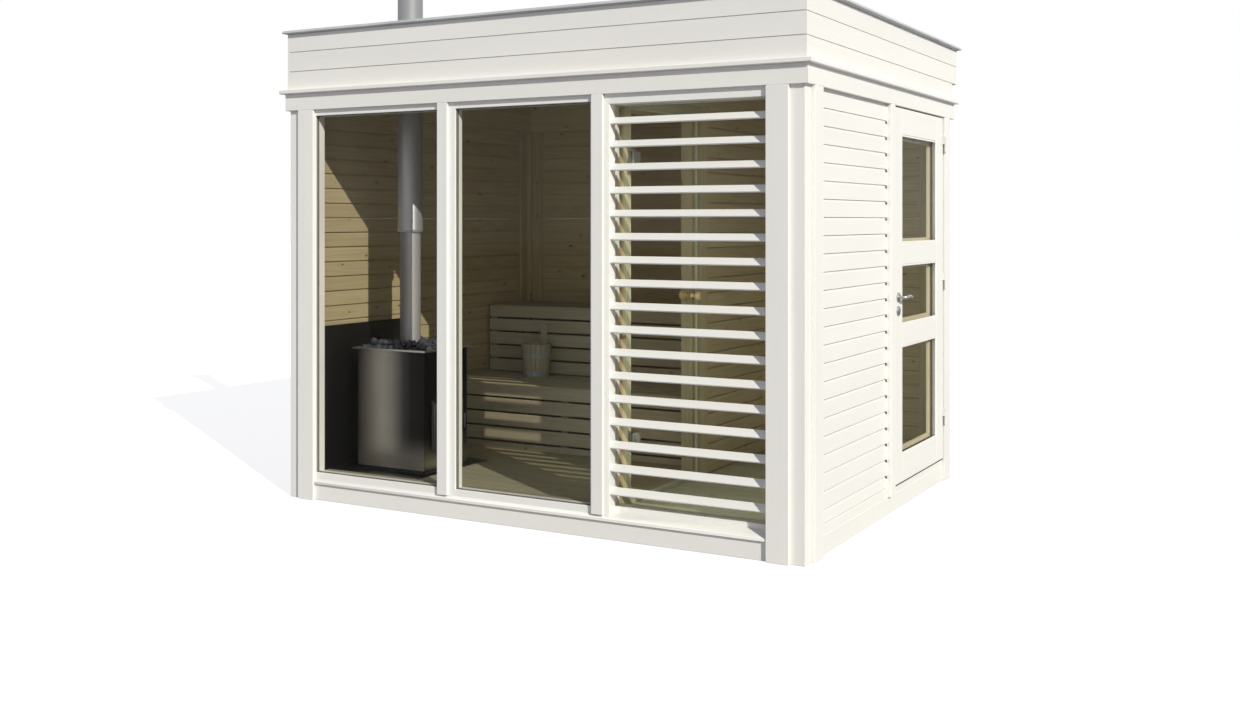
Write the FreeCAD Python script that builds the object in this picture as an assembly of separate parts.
import FreeCAD, Part
import math
import os

# Outdoor sauna cabin. Millimetres, +Z up, +X to the right along the glazed
# front, +Y to the back. The origin is on the ground, in the middle of the
# rectangle that the outer faces of the four corner posts make.

# Body, over the outer faces of the corner posts
BODY_W = 2970.0
BODY_D = 2330.0
POST_W = 90.0
BEAM_UNDER = 2105.0
BEAM_H = 220.0
BEAM_T = 80.0
BEAM_SETBACK = 10.0

# Floor
BASE_H = 88.0
JOIST_T = 45.0
JOIST_BAYS = 6
FLOOR_T = 32.0

# Walls of solid timber
WALL_T = 44.0
WALL_SETBACK = 5.0
WALL_SILL_H = 47.0

# Outer trims
TRIM_T = 19.0
TRIM_W = 108.0
POST_SHOWN = 70.0
STRIP_W = 70.0
STRIP_FOOT = 116.0
BAND_BELOW_BEAM = 13.0
BAND_H = 90.0
EAVES_H = 22.0
EAVES_OUT = 43.0
INNER_TRIM_T = 15.0
INNER_TRIM_W = 75.0

# Front windows. The left and middle ones stand flush with the posts, and the
# right one stands back behind its louvre.
SIDE_BAY_W = 824.5
MULLION_W = 62.5
MULLION_D = 110.0
FRAME_D = 53.0
FRAME_BEAD = 14.0
MIDDLE_STILE_W = 37.0
FRAME_TOP_H = 60.0
FRAME_BOTTOM_H = 22.0
GLASS_T = 16.0
GLASS_BEHIND_FACE = 12.0
GLASS_BITE = 8.0
GLASS_GAP = 0.3
SILL_OUT = 13.0
SILL_NOSE_H = 13.0
SILL_BACK_H = 38.0

# Louvre in front of the right window
SLAT_COUNT = 17
SLAT_PITCH = 109.0
SLAT_TOP_Z = 1987.0
SLAT_RUN = 48.0
SLAT_DROP = 31.0
SLAT_T = 10.0
LOUVRE_JAMB_T = 27.0

# Roof
FASCIA_OUT = 10.0
FASCIA_H = 315.0
FASCIA_JOINTS = (98.0, 203.0)
FASCIA_GROOVE = 6.0
FASCIA_GROOVE_H = 3.0
REAR_OVERHANG = 100.0
SOFFIT_T = 18.0
CEILING_T = 25.0
ROOF_JOIST_H = 145.0
ROOF_JOIST_T = 45.0
ROOF_JOIST_BAYS = 5
DECK_T = 20.0
MEMBRANE_T = 6.0
EDGE_OUT = 34.0
EDGE_H = 20.0
EDGE_TOP_T = 6.0
EDGE_LIP = 50.0

# Entry door in the right wall
DOOR_TO_REAR_POST = 90.0
DOOR_W = 927.0
DOOR_GAP = 8.5
DOOR_LEAF_T = 44.5
DOOR_LEAF_OUT = 9.5
DOOR_HEAD_Z = 2092.0
THRESHOLD_Z = 125.0
DOOR_TOP_GAP = 7.0
DOOR_FOOT_GAP = 6.5
DOOR_STILE = 132.0
DOOR_PANES = ((274.0, 843.0), (954.0, 1269.0), (1379.0, 1948.0))
DOOR_STOP = 12.0
DOOR_STOP_GAP = 6.0
DOOR_GLASS_T = 24.0
HANDLE_Z = 1100.0
HANDLE_INSET = 62.0
KEY_BELOW = 70.0
ROSE_R = 26.0
ROSE_T = 8.0
LEVER_R = 9.0
LEVER_L = 122.0
LEVER_OUT = 52.0
HINGE_ZS = (330.0, 1110.0, 1890.0)
HINGE_R = 7.0
HINGE_H = 90.0
HINGE_STANDOFF = 8.5
HINGE_PIN_R = 4.0
HINGE_PLATE_T = 3.0
HINGE_PLATE_W = 30.0
PIN_CLEARANCE = 0.3
KNUCKLE_GAP = 1.0

# Partition with the glass sauna door
PARTITION_ASIDE = 4.25
SAUNA_DOOR_W = 732.0
SAUNA_JAMB = 45.0
SAUNA_HEAD_Z = 2044.0
SAUNA_THRESHOLD_Z = 144.0
SAUNA_GAP = 6.0
SAUNA_GLASS_T = 8.0
SAUNA_FACE_INSET = 7.0
SAUNA_STOP = 12.0
SAUNA_HINGE_ZS = (430.0, 1800.0)
SAUNA_PIN_R = 3.5
SAUNA_PIN_PAST_JAMB = 2.0
SAUNA_KNUCKLE_R = 7.0
SAUNA_KNUCKLE_GAP = 1.0
SAUNA_LUG_T = 11.0
SAUNA_LUG_W = 34.0
SAUNA_CLAMP = (60.0, 70.0)
KNOB_R = 24.0
KNOB_OUT = 46.0
KNOB_INSET = 50.0
KNOB_Z = 1100.0

# Stove, flue and chimney
STOVE_TO_WALL = 169.0
STOVE_TO_FRONT = 188.0
STOVE_W = 459.0
STOVE_D = 392.0
STOVE_BASE_H = 24.0
STOVE_BASE_INSET = 22.0
STOVE_TOP_Z = 797.0
STOVE_SKIN = 6.0
STONE_WELL_H = 120.0
STONE_HEAP_H = 45.0
STONE_BEVEL = 42.0
STONE_GAP = 2.0
RIM_W = 28.0
RIM_T = 10.0
FIREBOX = (230.0, 190.0, 300.0)
FIREBOX_Z = 290.0
FIRE_DOOR = (270.0, 240.0, 14.0)
FIRE_DOOR_GAP = 5.0
FIRE_DOOR_FRAME = 32.0
FIRE_GLASS_T = 4.0
FIRE_LUG_H = 12.0
FIRE_LUG_R = 6.0
FIRE_LUG_GAP = 2.0
FIRE_PIN_R = 3.0
FIRE_PIN_INSET = 6.0
FIRE_PIN_REACH = 12.0
PULL_L = 80.0
PULL_R = 6.0
PULL_OUT = 20.0
PULL_STUB_R = 5.0
FLUE_ASIDE = 18.5
FLUE_R = 57.5
FLUE_WALL = 2.0
FLUE_TOP_Z = 1434.0
CHIMNEY_R = 70.0
CHIMNEY_TOP_Z = 3300.0
CAP_R = 125.0
CAP_H = 60.0
CAP_RIM_T = 4.0
CAP_GAP = 70.0
CAP_STRAP_R = 3.0
CAP_STRAP_FOOT = 40.0
COLLAR_FOOT_R = 150.0
COLLAR_FOOT_T = 6.0
COLLAR_WALL = 12.0
COLLAR_H = 110.0
SHIELD_FRONT_GAP = 1.0
SHIELD_TO_BENCH = 265.0
SHIELD_TOP_Z = 915.0
SHIELD_T = 3.0
SHIELD_GAP = 20.0
BATTEN_W = 30.0
BATTEN_INSET = 40.0
PLATE_T = 3.0
PLATE_GAP = 8.0
PLATE_FRONT_GAP = 5.0
PLATE_W = 615.0
PLATE_TO_BENCH = 365.0

# Benches, bucket and ladle
UPPER_BENCH_Z = 945.0
UPPER_BENCH_D = 454.0
LOWER_BENCH_Z = 512.0
LOWER_BENCH_D = 552.0
SEAT_SLAT_T = 28.0
SEAT_SLAT_W = 88.0
SEAT_SLAT_GAP = 10.0
RISER_PITCH = 88.0
RISER_SLAT_H = 80.0
RISER_T = 20.0
BENCH_LEG = 45.0
BENCH_BEARER_H = 70.0
BENCH_GAP = 4.0
BUCKET_ALONG = 467.0
BUCKET_FROM_UPPER = 155.0
BUCKET_TOP_R = 94.0
BUCKET_FOOT_R = 78.0
BUCKET_H = 210.0
BUCKET_WALL = 11.0
BUCKET_FLOOR = 14.0
LADLE_ASIDE = 28.0
LADLE_H = 325.0
SCOOP_R = 30.0
SCOOP_FOOT_R = 26.0
SCOOP_H = 42.0
SCOOP_WALL = 3.0
HANDLE_W = 30.0
HANDLE_T = 9.0
HANDLE_FOOT = 25.0

# Derived places
HALF_W = BODY_W / 2
HALF_D = BODY_D / 2
POST_IN_X = HALF_W - POST_W
POST_IN_Y = HALF_D - POST_W
FLOOR_TOP = BASE_H + FLOOR_T
WALL_FOOT = BASE_H + WALL_SILL_H
WALL_OUT_X = HALF_W - WALL_SETBACK
WALL_IN_X = WALL_OUT_X - WALL_T
WALL_OUT_Y = HALF_D - WALL_SETBACK
WALL_IN_Y = WALL_OUT_Y - WALL_T
FRONT = -HALF_D
TRIM_OUT_END = HALF_W - POST_SHOWN
TRIM_IN_END = TRIM_OUT_END - TRIM_W
TRIM_IN_END_Y = HALF_D - POST_SHOWN - TRIM_W
BAND_Z0 = BEAM_UNDER - BAND_BELOW_BEAM
EAVES_Z0 = BAND_Z0 + BAND_H
FASCIA_Z0 = EAVES_Z0 + EAVES_H
FASCIA_TOP = FASCIA_Z0 + FASCIA_H
BEAM_TOP = BEAM_UNDER + BEAM_H
ROOF_JOIST_TOP = BEAM_TOP + ROOF_JOIST_H
DECK_TOP = ROOF_JOIST_TOP + DECK_T
ROOF_X = HALF_W - BEAM_SETBACK
ROOF_Y0 = FRONT + BEAM_SETBACK
ROOF_Y1 = HALF_D - BEAM_SETBACK + REAR_OVERHANG
MULLION_X = TRIM_IN_END - SIDE_BAY_W - MULLION_W / 2
PARTITION_X = MULLION_X - PARTITION_ASIDE
FRAME_BACK_Y = FRONT + MULLION_D
FRAME_FACE_Y = FRAME_BACK_Y - FRAME_D
FRAME_TOP_Z = BEAM_UNDER
SILL_BACK_Z = BASE_H + SILL_BACK_H
GLASS_FOOT_Z = SILL_BACK_Z + FRAME_BOTTOM_H
GLASS_HEAD_Z = FRAME_TOP_Z - FRAME_TOP_H
PART_X0 = PARTITION_X - POST_W / 2
PART_X1 = PARTITION_X + POST_W / 2
SAUNA_DOOR_Y0 = FRAME_BACK_Y + POST_W + SAUNA_JAMB
SAUNA_DOOR_Y1 = SAUNA_DOOR_Y0 + SAUNA_DOOR_W
PARTITION_REAR_POST_Y = SAUNA_DOOR_Y1 + SAUNA_JAMB + POST_W
DOOR_REAR_Y = POST_IN_Y - DOOR_TO_REAR_POST
DOOR_FRONT_Y = DOOR_REAR_Y - DOOR_W
LEAF_OUT_X = HALF_W + DOOR_LEAF_OUT
LEAF_IN_X = LEAF_OUT_X - DOOR_LEAF_T
LEAF_Y0 = DOOR_FRONT_Y + DOOR_GAP
LEAF_Y1 = DOOR_REAR_Y - DOOR_GAP
LEAF_Z0 = THRESHOLD_Z + DOOR_FOOT_GAP
LEAF_Z1 = DOOR_HEAD_Z - DOOR_TOP_GAP
HINGE_X = LEAF_OUT_X + HINGE_R + HINGE_STANDOFF
HINGE_Y = DOOR_REAR_Y - HINGE_R
STOVE_X = -WALL_IN_X + STOVE_TO_WALL + STOVE_W / 2
STOVE_Y = FRAME_BACK_Y + STOVE_TO_FRONT + STOVE_D / 2
STOVE_FOOT_Z = FLOOR_TOP + PLATE_T
STOVE_BODY_Z = STOVE_FOOT_Z + STOVE_BASE_H
FLUE_X = STOVE_X - FLUE_ASIDE
BENCH_X0 = -WALL_IN_X + INNER_TRIM_T + BENCH_GAP
BENCH_X1 = PART_X0 - BENCH_GAP
BENCH_BACK_Y = POST_IN_Y - BENCH_GAP
UPPER_BENCH_Y = BENCH_BACK_Y - UPPER_BENCH_D
LOWER_BENCH_Y = UPPER_BENCH_Y - LOWER_BENCH_D
BUCKET_X = BENCH_X0 + BUCKET_ALONG
BUCKET_Y = UPPER_BENCH_Y - BUCKET_FROM_UPPER


def box(x0, x1, y0, y1, z0, z1):
    """A block between three pairs of coordinates."""
    return Part.makeBox(x1 - x0, y1 - y0, z1 - z0, FreeCAD.Vector(x0, y0, z0))


def prism_x(outline, x0, x1):
    """An outline of (y, z) points drawn out along X."""
    points = [FreeCAD.Vector(x0, y, z) for y, z in outline]
    face = Part.Face(Part.makePolygon(points + points[:1]))
    return face.extrude(FreeCAD.Vector(x1 - x0, 0, 0))


def rod_z(x, y, radius, z0, z1):
    """An upright round bar."""
    return Part.makeCylinder(radius, z1 - z0, FreeCAD.Vector(x, y, z0))


def rod(start, direction, radius, length):
    """A round bar in any direction."""
    return Part.makeCylinder(radius, length, FreeCAD.Vector(*start), FreeCAD.Vector(*direction))


def fuse(solids):
    """One solid made of several that meet."""
    joined = solids[0]
    for solid in solids[1:]:
        joined = joined.fuse(solid)
    return joined.removeSplitter()


def ring(out, inn, z0, z1, rear=0.0):
    """A rectangular band round the body, from inn to out beyond the post faces."""
    outer = box(-HALF_W - out, HALF_W + out, FRONT - out, HALF_D + out + rear, z0, z1)
    inner = box(-HALF_W - inn, HALF_W + inn, FRONT - inn, HALF_D + inn + rear, z0, z1)
    return outer.cut(inner)


def revolve(outline, x, y):
    """An outline of (radius, z) points turned about an upright axis."""
    points = [FreeCAD.Vector(x + r, y, z) for r, z in outline]
    face = Part.Face(Part.makePolygon(points + points[:1]))
    return face.revolve(FreeCAD.Vector(x, y, 0), FreeCAD.Vector(0, 0, 1), 360)


def save(node, solids):
    """Write one node, of one solid or of several that don't touch."""
    shape = solids[0] if len(solids) == 1 else Part.makeCompound(solids)
    shape.exportStep("parts/" + node + ".step")


def corner_squares(z0, z1):
    """The four corner posts between two heights."""
    posts = []
    for side in (-1, 1):
        for end in (-1, 1):
            x0 = min(side * HALF_W, side * POST_IN_X)
            y0 = min(end * HALF_D, end * POST_IN_Y)
            posts.append(box(x0, x0 + POST_W, y0, y0 + POST_W, z0, z1))
    return posts


# Base, floor and frame

def base_beams():
    return [
        box(-POST_IN_X, POST_IN_X, FRONT, -POST_IN_Y, 0, BASE_H),
        box(-POST_IN_X, POST_IN_X, POST_IN_Y, HALF_D, 0, BASE_H),
        box(-HALF_W, -POST_IN_X, -POST_IN_Y, POST_IN_Y, 0, BASE_H),
        box(POST_IN_X, HALF_W, -POST_IN_Y, POST_IN_Y, 0, BASE_H),
    ]


def floor_joists():
    pitch = 2 * POST_IN_X / JOIST_BAYS
    joists = []
    for i in range(1, JOIST_BAYS):
        x = -POST_IN_X + i * pitch
        joists.append(box(x - JOIST_T / 2, x + JOIST_T / 2, -POST_IN_Y, POST_IN_Y, 0, BASE_H))
    return joists


def floor_slab():
    slab = box(-WALL_IN_X, WALL_IN_X, FRAME_FACE_Y, WALL_IN_Y, BASE_H, FLOOR_TOP)
    for post in corner_squares(0, BEAM_UNDER) + mullions():
        slab = slab.cut(post)
    return slab.cut(entry_frame())


def mullions():
    return [
        box(side * MULLION_X - MULLION_W / 2, side * MULLION_X + MULLION_W / 2,
            FRONT, FRAME_BACK_Y, BASE_H, BEAM_UNDER)
        for side in (-1, 1)
    ]


def partition_posts():
    front = FRAME_BACK_Y
    rear = PARTITION_REAR_POST_Y - POST_W
    return [
        box(PART_X0, PART_X1, front, front + POST_W, FLOOR_TOP, BEAM_UNDER),
        box(PART_X0, PART_X1, rear, rear + POST_W, FLOOR_TOP, BEAM_UNDER),
    ]


def long_beams():
    """The front and back top beams, over the full width."""
    x = HALF_W - BEAM_SETBACK
    y = HALF_D - BEAM_SETBACK
    return [
        box(-x, x, -y, -y + BEAM_T, BEAM_UNDER, BEAM_TOP),
        box(-x, x, y - BEAM_T, y, BEAM_UNDER, BEAM_TOP),
    ]


def cross_beams():
    """The side beams and the beam over the partition, between the long ones."""
    x = HALF_W - BEAM_SETBACK
    y = HALF_D - BEAM_SETBACK - BEAM_T
    return [
        box(-x, -x + BEAM_T, -y, y, BEAM_UNDER, BEAM_TOP),
        box(PARTITION_X - BEAM_T / 2, PARTITION_X + BEAM_T / 2, -y, y, BEAM_UNDER, BEAM_TOP),
        box(x - BEAM_T, x, -y, y, BEAM_UNDER, BEAM_TOP),
    ]


# Walls

def left_wall():
    return box(-WALL_OUT_X, -WALL_IN_X, -POST_IN_Y, POST_IN_Y, WALL_FOOT, BEAM_UNDER)


def back_wall():
    return box(-POST_IN_X, POST_IN_X, WALL_IN_Y, WALL_OUT_Y, WALL_FOOT, BEAM_UNDER)


def right_wall():
    return box(WALL_IN_X, WALL_OUT_X, -POST_IN_Y, DOOR_FRONT_Y - STRIP_W, WALL_FOOT, BEAM_UNDER)


def wall_sills():
    """Strips between the base beams and the wall boards."""
    return [
        box(-HALF_W, -WALL_IN_X, -POST_IN_Y, POST_IN_Y, BASE_H, WALL_FOOT),
        box(-POST_IN_X, POST_IN_X, WALL_IN_Y, HALF_D, BASE_H, WALL_FOOT),
        box(WALL_IN_X, HALF_W, -POST_IN_Y, DOOR_FRONT_Y - STRIP_W, BASE_H, WALL_FOOT),
    ]


def partition_wall():
    x1 = PART_X1 - WALL_SETBACK
    return box(x1 - WALL_T, x1, PARTITION_REAR_POST_Y, WALL_IN_Y, FLOOR_TOP, BEAM_UNDER)


# Front: window frames, glass, sill and louvre

def front_bays():
    """The three bays along X, each as its two ends and its two frame stiles."""
    end = MULLION_W / 2
    return [
        (-TRIM_IN_END, -MULLION_X - end, 0, FRAME_BEAD),
        (-MULLION_X + end, MULLION_X - end, MIDDLE_STILE_W, FRAME_BEAD),
        (MULLION_X + end, TRIM_IN_END, FRAME_BEAD, FRAME_BEAD),
    ]


def frame_face(x1):
    """The Y of a bay's frame face: set back only behind the louvre."""
    return FRAME_FACE_Y if x1 == TRIM_IN_END else FRONT


def window_frame(x0, x1, stile0, stile1):
    """One frame, which reaches behind the corner trim to the post at an end bay."""
    left = -POST_IN_X if x0 == -TRIM_IN_END else x0
    pieces = [box(left, x1, FRAME_FACE_Y, FRAME_BACK_Y, FLOOR_TOP, FRAME_TOP_Z)]
    if x1 == TRIM_IN_END:
        pieces.append(box(x0, x1, FRONT, FRAME_FACE_Y, GLASS_HEAD_Z, FRAME_TOP_Z))
        pieces.append(box(x1, POST_IN_X, FRONT, FRAME_BACK_Y, FLOOR_TOP, FRAME_TOP_Z))
    else:
        pieces.append(box(left, x1, FRONT, FRAME_FACE_Y, BASE_H, FRAME_TOP_Z))
    opening = box(x0 + stile0, x1 - stile1, frame_face(x1), FRAME_BACK_Y, GLASS_FOOT_Z, GLASS_HEAD_Z)
    return fuse(pieces).cut(opening).cut(glass_pocket(x0, x1, stile0, stile1, 0))


def glass_pocket(x0, x1, stile0, stile1, gap):
    """The space of one pane, or the pane itself when a gap is kept round it."""
    y0 = frame_face(x1) + GLASS_BEHIND_FACE
    bite = GLASS_BITE - gap
    return box(x0 + stile0 - bite, x1 - stile1 + bite, y0 + gap, y0 + GLASS_T - gap,
               GLASS_FOOT_Z - bite, GLASS_HEAD_Z + bite)


def front_sill():
    """The sill: a slim one before the flush frames, and a deep one under the louvre."""
    nose_y = FRONT - SILL_OUT
    nose_z = BASE_H + SILL_NOSE_H
    louvre_x = MULLION_X + MULLION_W / 2
    slim = [(nose_y, BASE_H), (nose_y, nose_z), (FRONT, STRIP_FOOT), (FRONT, BASE_H)]
    deep = [(nose_y, BASE_H), (nose_y, nose_z), (FRAME_FACE_Y, SILL_BACK_Z), (FRAME_FACE_Y, BASE_H)]
    return fuse([prism_x(slim, -TRIM_IN_END, louvre_x), prism_x(deep, louvre_x, TRIM_IN_END)])


def louvre_slats():
    """Slats that slope down and out, on one pitch, between the jamb and the corner."""
    x0 = MULLION_X + MULLION_W / 2 + LOUVRE_JAMB_T
    width = math.hypot(SLAT_RUN, SLAT_DROP)
    back = SLAT_T * SLAT_DROP / width
    down = SLAT_T * SLAT_RUN / width
    rear_y = FRAME_FACE_Y - GLASS_GAP - back
    slats = []
    for i in range(SLAT_COUNT):
        z = SLAT_TOP_Z - i * SLAT_PITCH
        outline = [
            (rear_y, z),
            (rear_y - SLAT_RUN, z - SLAT_DROP),
            (rear_y - SLAT_RUN + back, z - SLAT_DROP - down),
            (rear_y + back, z - down),
        ]
        slats.append(prism_x(outline, x0, TRIM_IN_END))
    return slats


def louvre_jamb():
    x0 = MULLION_X + MULLION_W / 2
    jamb = box(x0, x0 + LOUVRE_JAMB_T, FRONT, FRAME_FACE_Y, BASE_H, GLASS_HEAD_Z)
    return jamb.cut(front_sill())


# Outer and inner trims

def corner_trims():
    """Boards beside each corner post, on the four sides of the cabin."""
    trims = []
    for side in (-1, 1):
        x0 = min(side * TRIM_OUT_END, side * TRIM_IN_END)
        trims.append(box(x0, x0 + TRIM_W, FRONT - TRIM_T, FRONT, 0, BAND_Z0))
        trims.append(box(x0, x0 + TRIM_W, HALF_D, HALF_D + TRIM_T, 0, BAND_Z0))
        face = side * HALF_W
        out = side * (HALF_W + TRIM_T)
        for end in (-1, 1):
            y0 = min(end * (TRIM_IN_END_Y + TRIM_W), end * TRIM_IN_END_Y)
            trims.append(box(min(face, out), max(face, out), y0, y0 + TRIM_W, 0, BAND_Z0))
    return trims


def cover_strips():
    """Strips over the two front mullions and beside the entry door."""
    strips = []
    for side in (-1, 1):
        x = side * MULLION_X
        strips.append(box(x - MULLION_W / 2, x + MULLION_W / 2, FRONT - TRIM_T, FRONT, STRIP_FOOT, BAND_Z0))
    strips.append(box(HALF_W, HALF_W + TRIM_T, DOOR_FRONT_Y - STRIP_W, DOOR_FRONT_Y, BASE_H, BAND_Z0))
    return strips


def header_band():
    lower = ring(TRIM_T, 0, BAND_Z0, EAVES_Z0)
    upper = ring(0, -BEAM_SETBACK, BEAM_UNDER, EAVES_Z0)
    return fuse([lower, upper])


def inner_trims():
    """Cover strips in the inner corners, where the walls meet the posts."""
    y1 = WALL_IN_Y
    y0 = y1 - INNER_TRIM_T
    x1 = -WALL_IN_X + INNER_TRIM_T
    z0, z1 = FLOOR_TOP, BEAM_UNDER
    return [
        box(-POST_IN_X, -POST_IN_X + INNER_TRIM_W, y0, y1, z0, z1),
        box(-WALL_IN_X, x1, POST_IN_Y - INNER_TRIM_W, POST_IN_Y, z0, z1),
        box(POST_IN_X - INNER_TRIM_W, POST_IN_X, y0, y1, z0, z1),
        box(PART_X1 - WALL_SETBACK, PART_X1 - WALL_SETBACK + INNER_TRIM_W, y0, y1, z0, z1),
    ]


# Roof

def chimney_hole(shape, radius):
    return shape.cut(rod_z(FLUE_X, STOVE_Y, radius, 0, CHIMNEY_TOP_Z))


def upper_fascia():
    """Two boards on each side, with the groove between them."""
    low, middle = FASCIA_JOINTS
    band = ring(FASCIA_OUT, -BEAM_SETBACK, FASCIA_Z0 + low, FASCIA_TOP, REAR_OVERHANG)
    groove_z0 = FASCIA_Z0 + middle - FASCIA_GROOVE_H / 2
    groove = ring(FASCIA_OUT, FASCIA_OUT - FASCIA_GROOVE, groove_z0, groove_z0 + FASCIA_GROOVE_H, REAR_OVERHANG)
    return band.cut(groove)


def roof_edge():
    """The dark metal drip edge on top of the fascia."""
    front = ring(EDGE_OUT, FASCIA_OUT, FASCIA_TOP + EDGE_TOP_T - EDGE_H, FASCIA_TOP, REAR_OVERHANG)
    top = ring(EDGE_OUT, EDGE_OUT - EDGE_LIP, FASCIA_TOP, FASCIA_TOP + EDGE_TOP_T, REAR_OVERHANG)
    return fuse([front, top])


def roof_joists():
    pitch = (2 * ROOF_X - ROOF_JOIST_T) / ROOF_JOIST_BAYS
    joists = []
    for i in range(ROOF_JOIST_BAYS + 1):
        x = -ROOF_X + i * pitch
        joists.append(box(x, x + ROOF_JOIST_T, ROOF_Y0, ROOF_Y1, BEAM_TOP, ROOF_JOIST_TOP))
    return joists


def ceiling():
    """Boarded ceilings of the two rooms, up between the beams."""
    x = HALF_W - BEAM_SETBACK - BEAM_T
    y = HALF_D - BEAM_SETBACK - BEAM_T
    z0 = BEAM_TOP - CEILING_T
    sauna = box(-x, PARTITION_X - BEAM_T / 2, -y, y, z0, BEAM_TOP)
    lobby = box(PARTITION_X + BEAM_T / 2, x, -y, y, z0, BEAM_TOP)
    return [chimney_hole(sauna, CHIMNEY_R + GLASS_GAP), lobby]


def roof_deck():
    deck = box(-ROOF_X, ROOF_X, ROOF_Y0, ROOF_Y1, ROOF_JOIST_TOP, DECK_TOP)
    return chimney_hole(deck, CHIMNEY_R + GLASS_GAP)


def roof_membrane():
    """The roof skin, turned up behind the fascia."""
    sheet = box(-ROOF_X, ROOF_X, ROOF_Y0, ROOF_Y1, DECK_TOP, DECK_TOP + MEMBRANE_T)
    upstand = ring(-BEAM_SETBACK, -BEAM_SETBACK - MEMBRANE_T, DECK_TOP, FASCIA_TOP, REAR_OVERHANG)
    return chimney_hole(fuse([sheet, upstand]), CHIMNEY_R + GLASS_GAP)


def soffit():
    """The board under the rear overhang."""
    return box(-ROOF_X, ROOF_X, HALF_D + FASCIA_OUT, ROOF_Y1, BEAM_TOP - SOFFIT_T, BEAM_TOP)


# Entry door

def entry_frame():
    y0 = DOOR_FRONT_Y - STRIP_W
    stop_face = LEAF_IN_X - DOOR_STOP_GAP
    outer = box(POST_IN_X, HALF_W, y0, POST_IN_Y, BASE_H, BEAM_UNDER)
    leaf_space = box(stop_face, HALF_W, DOOR_FRONT_Y, DOOR_REAR_Y, THRESHOLD_Z, DOOR_HEAD_Z)
    way_in = box(POST_IN_X, stop_face, DOOR_FRONT_Y + DOOR_STOP, DOOR_REAR_Y - DOOR_STOP,
                 THRESHOLD_Z, DOOR_HEAD_Z - DOOR_STOP)
    return outer.cut(leaf_space).cut(way_in)


def entry_leaf():
    """Stiles and rails round three panes, with a groove for each pane."""
    leaf = box(LEAF_IN_X, LEAF_OUT_X, LEAF_Y0, LEAF_Y1, LEAF_Z0, LEAF_Z1)
    for z0, z1 in DOOR_PANES:
        y0, y1 = LEAF_Y0 + DOOR_STILE, LEAF_Y1 - DOOR_STILE
        leaf = leaf.cut(box(LEAF_IN_X, LEAF_OUT_X, y0, y1, z0, z1))
        leaf = leaf.cut(door_pane(z0, z1, 0))
    return leaf


def door_pane(z0, z1, gap):
    middle = (LEAF_IN_X + LEAF_OUT_X) / 2
    half = DOOR_GLASS_T / 2 - gap
    reach = GLASS_BITE - gap
    return box(middle - half, middle + half, LEAF_Y0 + DOOR_STILE - reach, LEAF_Y1 - DOOR_STILE + reach,
               z0 - reach, z1 + reach)


def entry_handle():
    """Levers on round roses, with a key rose below, on both faces."""
    pieces = []
    y = LEAF_Y0 + HANDLE_INSET
    for face, side in ((LEAF_OUT_X, 1), (LEAF_IN_X, -1)):
        out = (side, 0, 0)
        rose = rod((face, y, HANDLE_Z), out, ROSE_R, ROSE_T)
        neck = rod((face, y, HANDLE_Z), out, LEVER_R, LEVER_OUT)
        grip = rod((face + side * (LEVER_OUT - LEVER_R), y, HANDLE_Z), (0, 1, 0), LEVER_R, LEVER_L)
        pieces.append(fuse([rose, neck, grip]))
        pieces.append(rod((face, y, HANDLE_Z - KEY_BELOW), out, ROSE_R, ROSE_T))
    return pieces


def entry_hinge(z, moving):
    """One half of a hinge: the upper knuckle on the leaf, or the lower one with its pin."""
    middle = z + HINGE_H / 2
    plate_x0 = LEAF_OUT_X if moving else HALF_W + TRIM_T
    reach = HINGE_Y - HINGE_PLATE_W if moving else HINGE_Y + HINGE_PLATE_W
    z0 = middle + KNUCKLE_GAP / 2 if moving else z
    z1 = z + HINGE_H if moving else middle - KNUCKLE_GAP / 2
    knuckle = rod_z(HINGE_X, HINGE_Y, HINGE_R, z0, z1)
    web = box(plate_x0, HINGE_X, min(HINGE_Y, reach), max(HINGE_Y, reach), z0, z1)
    trimmed = web.cut(box(plate_x0 + HINGE_PLATE_T, HINGE_X, min(HINGE_Y, reach) + (0 if moving else HINGE_R),
                          max(HINGE_Y, reach) - (HINGE_R if moving else 0), z0, z1))
    half = fuse([knuckle, trimmed])
    if moving:
        return half.cut(rod_z(HINGE_X, HINGE_Y, HINGE_PIN_R + PIN_CLEARANCE, z0, z1))
    return fuse([half, rod_z(HINGE_X, HINGE_Y, HINGE_PIN_R, z, z + HINGE_H)])


# Partition door

def sauna_frame():
    y0 = SAUNA_DOOR_Y0 - SAUNA_JAMB
    y1 = SAUNA_DOOR_Y1 + SAUNA_JAMB
    stop_x = sauna_leaf_x() - SAUNA_GAP
    outer = box(PART_X0, PART_X1, y0, y1, FLOOR_TOP, BEAM_UNDER)
    leaf_space = box(stop_x, PART_X1, SAUNA_DOOR_Y0, SAUNA_DOOR_Y1, SAUNA_THRESHOLD_Z, SAUNA_HEAD_Z)
    way_in = box(PART_X0, stop_x, SAUNA_DOOR_Y0 + SAUNA_STOP, SAUNA_DOOR_Y1 - SAUNA_STOP,
                 SAUNA_THRESHOLD_Z, SAUNA_HEAD_Z - SAUNA_STOP)
    return outer.cut(leaf_space).cut(way_in)


def sauna_leaf_x():
    """The back face of the glass leaf, which faces the stove."""
    return PART_X1 - SAUNA_FACE_INSET - SAUNA_GLASS_T


def sauna_leaf():
    x0 = sauna_leaf_x()
    return box(x0, x0 + SAUNA_GLASS_T, SAUNA_DOOR_Y0 + SAUNA_GAP, SAUNA_DOOR_Y1 - SAUNA_GAP,
               SAUNA_THRESHOLD_Z + SAUNA_GAP, SAUNA_HEAD_Z - SAUNA_GAP)


def sauna_pin():
    return PART_X1 + SAUNA_KNUCKLE_R + SAUNA_KNUCKLE_GAP, SAUNA_DOOR_Y0 + SAUNA_PIN_PAST_JAMB


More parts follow.
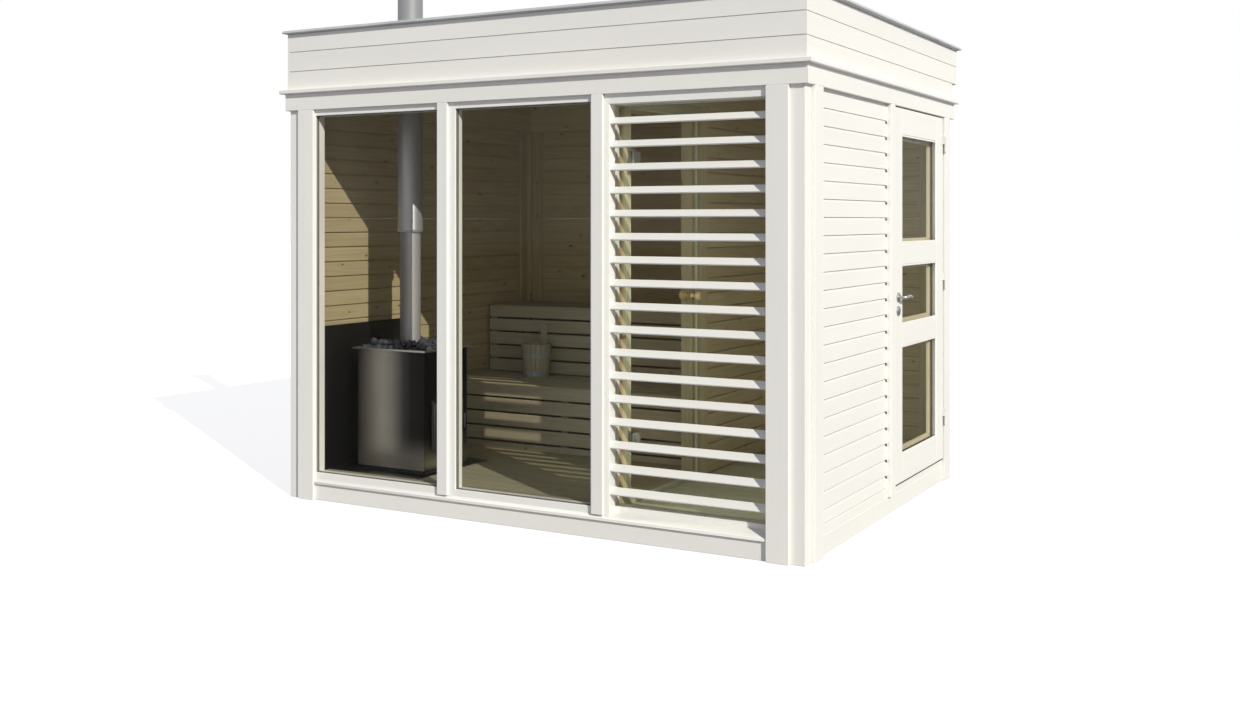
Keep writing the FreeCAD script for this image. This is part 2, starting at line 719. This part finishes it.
def sauna_hinge(z, moving):
    """A clamp on the glass that turns on a pin held by a block on the jamb."""
    pin_x, pin_y = sauna_pin()
    depth, height = SAUNA_CLAMP
    half = height / 2
    glass_face = sauna_leaf_x() + SAUNA_GLASS_T
    edge = SAUNA_DOOR_Y0 + SAUNA_GAP
    if moving:
        clamp = box(glass_face, pin_x, pin_y, edge + depth, z - half, z + half)
        cheek = box(pin_x - SAUNA_KNUCKLE_R, pin_x + SAUNA_KNUCKLE_R, pin_y, edge + depth, z - half, z + half)
        barrel = rod_z(pin_x, pin_y, SAUNA_KNUCKLE_R, z - half, z + half)
        jamb_side = box(PART_X0, PART_X1 + SAUNA_KNUCKLE_GAP, SAUNA_DOOR_Y0 - depth, edge, z - half, z + half)
        body = fuse([clamp, cheek, barrel]).cut(jamb_side)
        return body.cut(rod_z(pin_x, pin_y, SAUNA_PIN_R + PIN_CLEARANCE, z - half, z + half))
    reach = half + KNUCKLE_GAP + SAUNA_LUG_T
    y0 = pin_y - SAUNA_LUG_W
    pieces = [rod_z(pin_x, pin_y, SAUNA_PIN_R, z - reach, z + reach)]
    for z0 in (z - reach, z + half + KNUCKLE_GAP):
        pieces.append(box(PART_X1, pin_x + SAUNA_KNUCKLE_R, y0, pin_y + SAUNA_KNUCKLE_R, z0, z0 + SAUNA_LUG_T))
    plate = box(PART_X1, PART_X1 + HINGE_PLATE_T, y0, pin_y - 2 * SAUNA_KNUCKLE_R, z - reach, z + reach)
    return fuse(pieces + [plate])


def sauna_knobs():
    """Round turned knobs on both faces of the glass."""
    y = SAUNA_DOOR_Y1 - SAUNA_GAP - KNOB_INSET
    knobs = []
    for side in (-1, 1):
        face = sauna_leaf_x() + (SAUNA_GLASS_T if side > 0 else 0)
        neck = rod((face, y, KNOB_Z), (side, 0, 0), KNOB_R / 2, KNOB_OUT - KNOB_R / 2)
        head = rod((face + side * KNOB_R / 2, y, KNOB_Z), (side, 0, 0), KNOB_R, KNOB_OUT)
        knobs.append(fuse([neck, head]))
    return knobs


# Stove, flue and chimney

def stove_body():
    """A steel jacket with a stone well in its top and a firebox behind the door."""
    x0, x1 = STOVE_X - STOVE_W / 2, STOVE_X + STOVE_W / 2
    y0, y1 = STOVE_Y - STOVE_D / 2, STOVE_Y + STOVE_D / 2
    jacket = box(x0, x1, y0, y1, STOVE_BODY_Z, STOVE_TOP_Z)
    well = box(x0 + STOVE_SKIN, x1 - STOVE_SKIN, y0 + STOVE_SKIN, y1 - STOVE_SKIN,
               STOVE_TOP_Z - STONE_WELL_H, STOVE_TOP_Z)
    wide, high, deep = FIREBOX
    fire = box(x1 - deep, x1, STOVE_Y - wide / 2, STOVE_Y + wide / 2, FIREBOX_Z, FIREBOX_Z + high)
    lip = STOVE_SKIN - RIM_W
    rim = box(x0 + lip, x1 - lip, y0 + lip, y1 - lip, STOVE_TOP_Z - RIM_T, STOVE_TOP_Z)
    return fuse([jacket, rim]).cut(well).cut(fire)


def stove_base():
    inset = STOVE_BASE_INSET
    return box(STOVE_X - STOVE_W / 2 + inset, STOVE_X + STOVE_W / 2 - inset,
               STOVE_Y - STOVE_D / 2 + inset, STOVE_Y + STOVE_D / 2 - inset, STOVE_FOOT_Z, STOVE_BODY_Z)


def stone_bed():
    """The heap of stones round the flue, as one low mound in the well."""
    inset = STOVE_SKIN + STONE_GAP
    x0, x1 = STOVE_X - STOVE_W / 2 + inset, STOVE_X + STOVE_W / 2 - inset
    y0, y1 = STOVE_Y - STOVE_D / 2 + inset, STOVE_Y + STOVE_D / 2 - inset
    z0 = STOVE_TOP_Z - STONE_WELL_H
    full = box(x0, x1, y0, y1, z0, STOVE_TOP_Z + STONE_HEAP_H)
    edges = [e for e in full.Edges if e.BoundBox.ZMin > STOVE_TOP_Z]
    heap = full.makeChamfer(STONE_BEVEL, edges)
    return heap.cut(rod_z(FLUE_X, STOVE_Y, FLUE_R + GLASS_GAP, z0, FLUE_TOP_Z))


def fire_door_place():
    """The low corner of the fire door: its back, its front edge and its foot."""
    x0 = STOVE_X + STOVE_W / 2 + FIRE_DOOR_GAP
    y0 = STOVE_Y - FIRE_DOOR[0] / 2
    z0 = FIREBOX_Z + (FIREBOX[1] - FIRE_DOOR[1]) / 2
    return x0, y0, z0


def fire_door():
    """A framed door with a pull bar, drilled for the two hinge pins."""
    wide, high, thick = FIRE_DOOR
    x0, y0, z0 = fire_door_place()
    f = FIRE_DOOR_FRAME
    leaf = box(x0, x0 + thick, y0, y0 + wide, z0, z0 + high)
    window = box(x0, x0 + thick, y0 + f, y0 + wide - f, z0 + f, z0 + high - f)
    y_pull, z_pull = y0 + wide - f / 2, z0 + high / 2
    x_pull = x0 + thick + PULL_OUT
    bar = rod_z(x_pull, y_pull, PULL_R, z_pull - PULL_L / 2, z_pull + PULL_L / 2)
    stub = rod((x0 + thick / 2, y_pull, z_pull), (1, 0, 0), PULL_STUB_R, thick / 2 + PULL_OUT)
    bore = rod_z(x0 + thick / 2, y0 + FIRE_PIN_INSET, FIRE_PIN_R + PIN_CLEARANCE, z0, z0 + high)
    return fuse([leaf, stub, bar]).cut(window).cut(bore)


def fire_glass():
    wide, high, thick = FIRE_DOOR
    x0, y0, z0 = fire_door_place()
    pane_x0 = x0 + (thick - FIRE_GLASS_T) / 2
    f = FIRE_DOOR_FRAME + GLASS_GAP
    return box(pane_x0, pane_x0 + FIRE_GLASS_T, y0 + f, y0 + wide - f, z0 + f, z0 + high - f)


def fire_hinges():
    """Two lugs on the jacket, with pins that go up and down into the fire door."""
    high, thick = FIRE_DOOR[1:]
    x0, y0, z0 = fire_door_place()
    x, y = x0 + thick / 2, y0 + FIRE_PIN_INSET
    lugs = []
    for end, side in ((z0, -1), (z0 + high, 1)):
        near = end + side * FIRE_LUG_GAP
        far = near + side * FIRE_LUG_H
        tip = end - side * FIRE_PIN_REACH
        lug = box(x0 - FIRE_DOOR_GAP, x + FIRE_LUG_R, y - FIRE_LUG_R, y + FIRE_LUG_R,
                  min(near, far), max(near, far))
        lugs.append(fuse([lug, rod_z(x, y, FIRE_PIN_R, min(near, tip), max(near, tip))]))
    return lugs


def flue_pipe():
    return revolve([(FLUE_R - FLUE_WALL, STOVE_TOP_Z - STONE_WELL_H), (FLUE_R, STOVE_TOP_Z - STONE_WELL_H),
                    (FLUE_R, FLUE_TOP_Z), (FLUE_R - FLUE_WALL, FLUE_TOP_Z)], FLUE_X, STOVE_Y)


def chimney_pipe():
    inner = FLUE_R
    return revolve([(inner, FLUE_TOP_Z), (CHIMNEY_R, FLUE_TOP_Z), (CHIMNEY_R, CHIMNEY_TOP_Z),
                    (inner, CHIMNEY_TOP_Z)], FLUE_X, STOVE_Y)


def chimney_cap():
    """A shallow cone on four straps over the chimney."""
    z = CHIMNEY_TOP_Z + CAP_GAP
    cone = revolve([(0, z), (CAP_R, z), (CAP_R, z + CAP_RIM_T), (0, z + CAP_H)], FLUE_X, STOVE_Y)
    out = CHIMNEY_R + CAP_STRAP_R
    straps = []
    for i in range(4):
        angle = math.pi / 4 + i * math.pi / 2
        x = FLUE_X + out * math.cos(angle)
        y = STOVE_Y + out * math.sin(angle)
        straps.append(rod_z(x, y, CAP_STRAP_R, CHIMNEY_TOP_Z - CAP_STRAP_FOOT, z + CAP_RIM_T))
    return fuse([cone] + straps)


def roof_collar():
    """The cone that seals the chimney to the roof skin."""
    z0 = DECK_TOP + MEMBRANE_T
    inner = CHIMNEY_R + GLASS_GAP
    outline = [
        (inner, z0), (COLLAR_FOOT_R, z0), (COLLAR_FOOT_R, z0 + COLLAR_FOOT_T),
        (CHIMNEY_R + COLLAR_WALL, z0 + COLLAR_H), (inner, z0 + COLLAR_H),
    ]
    return revolve(outline, FLUE_X, STOVE_Y)


def heat_shield():
    """A steel sheet held off the left wall by two battens."""
    x0 = -WALL_IN_X
    y0 = FRAME_BACK_Y + SHIELD_FRONT_GAP
    y1 = LOWER_BENCH_Y - SHIELD_TO_BENCH
    pieces = [box(x0 + SHIELD_GAP, x0 + SHIELD_GAP + SHIELD_T, y0, y1, FLOOR_TOP, SHIELD_TOP_Z)]
    for y in (y0 + BATTEN_INSET, y1 - BATTEN_INSET - BATTEN_W):
        pieces.append(box(x0, x0 + SHIELD_GAP, y, y + BATTEN_W, FLOOR_TOP, SHIELD_TOP_Z))
    return fuse(pieces)


def floor_plate():
    """The steel sheet under the stove."""
    x0 = -WALL_IN_X + SHIELD_GAP + SHIELD_T + PLATE_GAP
    y0 = FRAME_BACK_Y + PLATE_FRONT_GAP
    return box(x0, x0 + PLATE_W, y0, LOWER_BENCH_Y - PLATE_TO_BENCH, FLOOR_TOP, FLOOR_TOP + PLATE_T)


# Benches, bucket and ladle

def seat_slats(y0, y1, top):
    """Seat slats along X, from a front edge back, evenly spaced."""
    count = int((y1 - y0 + SEAT_SLAT_GAP) // (SEAT_SLAT_W + SEAT_SLAT_GAP))
    pitch = (y1 - y0 + SEAT_SLAT_GAP) / count
    return [
        box(BENCH_X0, BENCH_X1, y0 + i * pitch, y0 + (i + 1) * pitch - SEAT_SLAT_GAP, top - SEAT_SLAT_T, top)
        for i in range(count)
    ]


def bench_seats():
    upper = seat_slats(UPPER_BENCH_Y + RISER_T, BENCH_BACK_Y, UPPER_BENCH_Z)
    lower = seat_slats(LOWER_BENCH_Y + RISER_T, UPPER_BENCH_Y, LOWER_BENCH_Z)
    return upper + lower


def riser_slats(y, top, foot):
    slats = []
    z = top
    while z - RISER_SLAT_H > foot - RISER_PITCH / 2:
        slats.append(box(BENCH_X0, BENCH_X1, y, y + RISER_T, max(z - RISER_SLAT_H, foot), z))
        z -= RISER_PITCH
    return slats


def bench_risers():
    upper = riser_slats(UPPER_BENCH_Y, UPPER_BENCH_Z, LOWER_BENCH_Z)
    lower = riser_slats(LOWER_BENCH_Y, LOWER_BENCH_Z, FLOOR_TOP)
    return upper + lower


def bench_frames():
    """Three timber frames that carry both benches."""
    frames = []
    middle = (BENCH_X0 + BENCH_X1 - BENCH_LEG) / 2
    upper_leg = UPPER_BENCH_Y + RISER_T
    lower_leg = LOWER_BENCH_Y + RISER_T
    for x in (BENCH_X0, middle, BENCH_X1 - BENCH_LEG):
        x1 = x + BENCH_LEG
        z_up = UPPER_BENCH_Z - SEAT_SLAT_T
        z_low = LOWER_BENCH_Z - SEAT_SLAT_T
        frames.append(fuse([
            box(x, x1, lower_leg, lower_leg + BENCH_LEG, FLOOR_TOP, z_low),
            box(x, x1, upper_leg, upper_leg + BENCH_LEG, FLOOR_TOP, z_up),
            box(x, x1, BENCH_BACK_Y - BENCH_LEG, BENCH_BACK_Y, FLOOR_TOP, z_up),
            box(x, x1, lower_leg, upper_leg + BENCH_LEG, z_low - BENCH_BEARER_H, z_low),
            box(x, x1, upper_leg, BENCH_BACK_Y, z_up - BENCH_BEARER_H, z_up),
        ]))
    return frames


def bucket():
    """A tapered wooden bucket with a floor."""
    z = LOWER_BENCH_Z
    wall = BUCKET_WALL
    outline = [
        (0, z), (BUCKET_FOOT_R, z), (BUCKET_TOP_R, z + BUCKET_H), (BUCKET_TOP_R - wall, z + BUCKET_H),
        (BUCKET_FOOT_R - wall, z + BUCKET_FLOOR), (0, z + BUCKET_FLOOR),
    ]
    return revolve(outline, BUCKET_X, BUCKET_Y)


def ladle():
    """A small scoop with a flat upright handle, standing in the bucket."""
    z = LOWER_BENCH_Z + BUCKET_FLOOR
    x, y = BUCKET_X + LADLE_ASIDE, BUCKET_Y + LADLE_ASIDE / 2
    inside = SCOOP_R - SCOOP_WALL
    outline = [
        (0, z), (SCOOP_FOOT_R, z), (SCOOP_R, z + SCOOP_H), (inside, z + SCOOP_H),
        (SCOOP_FOOT_R - SCOOP_WALL, z + SCOOP_WALL), (0, z + SCOOP_WALL),
    ]
    y0 = y + inside - HANDLE_T / 4
    handle = box(x - HANDLE_W / 2, x + HANDLE_W / 2, y0, y0 + HANDLE_T, z + HANDLE_FOOT, z + LADLE_H)
    return fuse([revolve(outline, x, y), handle.cut(rod_z(x, y, inside, z, z + SCOOP_H))])


def main():
    os.makedirs("parts", exist_ok=True)
    bays = front_bays()
    save("base_beams", base_beams())
    save("floor_joists", floor_joists())
    save("floor", [floor_slab()])
    save("corner_posts", corner_squares(0, BEAM_UNDER))
    save("front_mullions", mullions())
    save("long_top_beams", long_beams())
    save("cross_top_beams", cross_beams())
    save("left_wall", [left_wall()])
    save("back_wall", [back_wall()])
    save("right_wall", [right_wall()])
    save("wall_sills", wall_sills())
    save("partition_wall", [partition_wall()])
    save("partition_posts", partition_posts())
    save("window_frames", [window_frame(*bay) for bay in bays])
    save("window_glass", [glass_pocket(*bay, GLASS_GAP) for bay in bays])
    save("front_sill", [front_sill()])
    save("louvre_slats", louvre_slats())
    save("louvre_jamb", [louvre_jamb()])
    save("corner_trims", corner_trims())
    save("cover_strips", cover_strips())
    save("header_band", [header_band()])
    save("eaves_trim", [ring(EAVES_OUT, -BEAM_SETBACK, EAVES_Z0, FASCIA_Z0)])
    save("inner_trims", inner_trims())
    save("lower_fascia", [ring(FASCIA_OUT, -BEAM_SETBACK, FASCIA_Z0, FASCIA_Z0 + FASCIA_JOINTS[0])])
    save("upper_fascia", [upper_fascia()])
    save("roof_edge", [roof_edge()])
    save("roof_joists", roof_joists())
    save("ceiling", ceiling())
    save("roof_deck", [roof_deck()])
    save("roof_membrane", [roof_membrane()])
    save("soffit", [soffit()])
    save("entry_door_frame", [entry_frame()])
    save("entry_door_leaf", [entry_leaf()])
    save("entry_door_glass", [door_pane(z0, z1, GLASS_GAP) for z0, z1 in DOOR_PANES])
    save("entry_door_handle", entry_handle())
    save("entry_hinge_leaves", [entry_hinge(z, True) for z in HINGE_ZS])
    save("entry_hinge_pins", [entry_hinge(z, False) for z in HINGE_ZS])
    save("sauna_door_frame", [sauna_frame()])
    save("sauna_door_glass", [sauna_leaf()])
    save("sauna_door_knobs", sauna_knobs())
    save("sauna_hinge_clamps", [sauna_hinge(z, True) for z in SAUNA_HINGE_ZS])
    save("sauna_hinge_pins", [sauna_hinge(z, False) for z in SAUNA_HINGE_ZS])
    save("stove_body", [stove_body()])
    save("stove_base", [stove_base()])
    save("stove_stones", [stone_bed()])
    save("fire_door", [fire_door()])
    save("fire_door_glass", [fire_glass()])
    save("fire_door_hinges", fire_hinges())
    save("flue_pipe", [flue_pipe()])
    save("chimney_pipe", [chimney_pipe()])
    save("chimney_cap", [chimney_cap()])
    save("roof_collar", [roof_collar()])
    save("heat_shield", [heat_shield()])
    save("floor_plate", [floor_plate()])
    save("bench_seats", bench_seats())
    save("bench_risers", bench_risers())
    save("bench_frames", bench_frames())
    save("bucket", [bucket()])
    save("ladle", [ladle()])


main()
